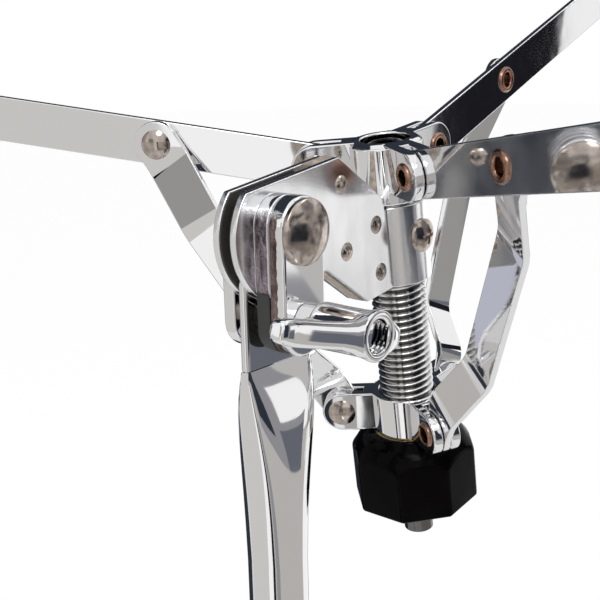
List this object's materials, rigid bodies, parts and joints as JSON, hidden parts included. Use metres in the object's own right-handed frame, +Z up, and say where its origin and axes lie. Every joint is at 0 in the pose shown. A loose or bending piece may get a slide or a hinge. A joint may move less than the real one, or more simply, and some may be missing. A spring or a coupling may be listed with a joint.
{
  "type": "snare drum stand",
  "caption": "Chromed snare drum stand with a folding tripod, sliding upright, plate tilter and a basket whose arms open and close with a knob on a threaded pole.",
  "frame": {"origin": "on the floor under the upright tube's axis", "axes": "+Z up along the upright tube, +X from the tube towards the basket's pole, -Y the side of the tilter's lever"},
  "size_m": [0.374, 0.4288, 0.6902],
  "materials": {
    "chrome": "mirror-bright chrome plating",
    "nickel": "warm brownish nickel plating",
    "copper": "bare copper-coloured eyelet",
    "brass": "plain turned brass",
    "steel": "plain steel",
    "threaded": "plated, cut thread",
    "raw_plate": "rough sheared edge",
    "core": "pale rough filler",
    "friction": "matt black friction pad",
    "black_plastic": "matt black",
    "knob_black": "gloss black",
    "rubber": "matt black rubber"
  },
  "bodies": {
    "stand": {"lower_tube": "chrome", "tube_plug": "black_plastic", "spreader": "chrome", "spreader_pins": "chrome", "height_clamp": "chrome", "clamp_bush": "black_plastic"},
    "clamp_screw": {"clamp_wing_bolt": "chrome"},
    "collar": {"leg_collar": "chrome", "leg_pins": "chrome"},
    "collar_screw": {"collar_wing_screw": "chrome"},
    "lock": {"memory_lock": "chrome", "memory_lock_screw": "steel"},
    "mast": {"upper_tube": "chrome", "strap_inner": "raw_plate", "strap_outer": "chrome", "strap_back": "chrome", "pivot_rivet": "nickel", "strap_spacer": "black_plastic", "clamp_bolt": "nickel"},
    "lever": {"lever_nut": "chrome"},
    "tilter": {"tilter_sheet": "chrome", "tilter_core": "core", "sheet_rivets": "nickel", "friction_pads": "friction", "threaded_pole": "threaded", "sleeve_screw": "nickel", "upper_hub": "chrome", "upper_hub_pins": "copper"},
    "sliding_hub": {"lower_hub": "chrome", "lower_hub_pins": "copper"},
    "basket_knob": {"knob": "knob_black", "knob_insert": "brass"},
    "leg_0": {"leg_0": "chrome", "foot_0": "rubber"},
    "stay_0": {"stay_0": "chrome", "stay_rivet_0": "chrome"},
    "arm_0": {"arm_0": "chrome", "grip_0": "rubber", "arm_eyelet_0": "copper"},
    "strut_0": {"strut_0": "chrome", "strut_rivet_0": "nickel"},
    "leg_120": {"leg_120": "chrome", "foot_120": "rubber"},
    "stay_120": {"stay_120": "chrome", "stay_rivet_120": "chrome"},
    "arm_120": {"arm_120": "chrome", "grip_120": "rubber", "arm_eyelet_120": "copper"},
    "strut_120": {"strut_120": "chrome", "strut_rivet_120": "nickel"},
    "leg_240": {"leg_240": "chrome", "foot_240": "rubber"},
    "stay_240": {"stay_240": "chrome", "stay_rivet_240": "chrome"},
    "arm_240": {"arm_240": "chrome", "grip_240": "rubber", "arm_eyelet_240": "copper"},
    "strut_240": {"strut_240": "chrome", "strut_rivet_240": "nickel"}
  },
  "joints": [
    {"name": "leg_fold", "type": "slide", "parent": "stand", "child": "collar", "axis": [0, 0, 1], "range_m": [0, 0.13508]},
    {"name": "leg_hinge_0", "type": "hinge", "parent": "collar", "child": "leg_0", "pos_m": [0.024, 0, 0.18], "axis": [0, 1, 0], "range_deg": [0, 42.97]},
    {"name": "stay_hinge_0", "type": "hinge", "parent": "stand", "child": "stay_0", "pos_m": [0.024, 0.0029, 0.045], "axis": [0, -1, 0], "range_deg": [0, 61.1]},
    {"name": "leg_hinge_120", "type": "hinge", "parent": "collar", "child": "leg_120", "pos_m": [-0.012, 0.02079, 0.18], "axis": [-0.866, -0.5, 0], "range_deg": [0, 42.97]},
    {"name": "stay_hinge_120", "type": "hinge", "parent": "stand", "child": "stay_120", "pos_m": [-0.01451, 0.01934, 0.045], "axis": [0.866, 0.5, 0], "range_deg": [0, 61.1]},
    {"name": "leg_hinge_240", "type": "hinge", "parent": "collar", "child": "leg_240", "pos_m": [-0.012, -0.02079, 0.18], "axis": [0.866, -0.5, 0], "range_deg": [0, 42.97]},
    {"name": "stay_hinge_240", "type": "hinge", "parent": "stand", "child": "stay_240", "pos_m": [-0.00949, -0.02224, 0.045], "axis": [-0.866, 0.5, 0], "range_deg": [0, 61.1]},
    {"name": "collar_screw_turn", "type": "hinge", "parent": "collar", "child": "collar_screw", "pos_m": [0.0075, -0.01299, 0.18], "axis": [0.5, -0.866, 0], "continuous": true},
    {"name": "clamp_screw_turn", "type": "hinge", "parent": "stand", "child": "clamp_screw", "pos_m": [-0.022, 0, 0.349], "axis": [0, 1, 0], "continuous": true},
    {"name": "height", "type": "slide", "parent": "stand", "child": "lock", "axis": [0, 0, 1], "range_m": [-0.0745, 0.067]},
    {"name": "swivel", "type": "hinge", "parent": "lock", "child": "mast", "pos_m": [0, 0, 0.447], "axis": [0, 0, 1], "continuous": true},
    {"name": "lever_turn", "type": "hinge", "parent": "mast", "child": "lever", "pos_m": [-0.003, -0.0205, 0.558], "axis": [0, 1, 0], "continuous": true},
    {"name": "basket_tilt", "type": "hinge", "parent": "mast", "child": "tilter", "pos_m": [-0.003, -0.0005, 0.58], "axis": [0, -1, 0], "range_deg": [-17, 160]},
    {"name": "hub_slide", "type": "slide", "parent": "tilter", "child": "sliding_hub", "axis": [-0.1392, 0, 0.9903], "range_m": [-0.00141, 0.01791]},
    {"name": "knob_turn", "type": "hinge", "parent": "sliding_hub", "child": "basket_knob", "pos_m": [0.06255, -0.0005, 0.49732], "axis": [-0.1392, 0, 0.9903], "range_deg": [-253.9, 3224.3]},
    {"name": "arm_hinge_0", "type": "hinge", "parent": "tilter", "child": "arm_0", "pos_m": [0.06911, -0.0005, 0.59286], "axis": [0, -1, 0], "range_deg": [-2.77, 35.02]},
    {"name": "strut_hinge_0", "type": "hinge", "parent": "sliding_hub", "child": "strut_0", "pos_m": [0.07961, -0.0005, 0.51819], "axis": [0, -1, 0], "range_deg": [-0.73, 9.1]},
    {"name": "arm_hinge_120", "type": "hinge", "parent": "tilter", "child": "arm_120", "pos_m": [0.0397, 0.01665, 0.58873], "axis": [0.8576, 0.5, 0.1205], "range_deg": [-2.77, 35.02]},
    {"name": "strut_hinge_120", "type": "hinge", "parent": "sliding_hub", "child": "strut_120", "pos_m": [0.05019, 0.01665, 0.51406], "axis": [0.8576, 0.5, 0.1205], "range_deg": [-0.73, 9.1]},
    {"name": "arm_hinge_240", "type": "hinge", "parent": "tilter", "child": "arm_240", "pos_m": [0.0397, -0.01765, 0.58873], "axis": [-0.8576, 0.5, -0.1205], "range_deg": [-2.77, 35.02]},
    {"name": "strut_hinge_240", "type": "hinge", "parent": "sliding_hub", "child": "strut_240", "pos_m": [0.05019, -0.01765, 0.51406], "axis": [-0.8576, 0.5, -0.1205], "range_deg": [-0.73, 9.1]}
  ],
  "couplings": [
    {"joint": "leg_hinge_0", "follows": "leg_fold", "rad_per_m": 5.549},
    {"joint": "stay_hinge_0", "follows": "leg_fold", "rad_per_m": 7.8926},
    {"joint": "leg_hinge_120", "follows": "leg_fold", "rad_per_m": 5.549},
    {"joint": "stay_hinge_120", "follows": "leg_fold", "rad_per_m": 7.8926},
    {"joint": "leg_hinge_240", "follows": "leg_fold", "rad_per_m": 5.549},
    {"joint": "stay_hinge_240", "follows": "leg_fold", "rad_per_m": 7.8926},
    {"joint": "knob_turn", "follows": "hub_slide", "rad_per_m": 3141.6},
    {"joint": "arm_hinge_0", "follows": "hub_slide", "rad_per_m": 34.104},
    {"joint": "strut_hinge_0", "follows": "hub_slide", "rad_per_m": 8.8467},
    {"joint": "arm_hinge_120", "follows": "hub_slide", "rad_per_m": 34.104},
    {"joint": "strut_hinge_120", "follows": "hub_slide", "rad_per_m": 8.8467},
    {"joint": "arm_hinge_240", "follows": "hub_slide", "rad_per_m": 34.104},
    {"joint": "strut_hinge_240", "follows": "hub_slide", "rad_per_m": 8.8467}
  ]
}
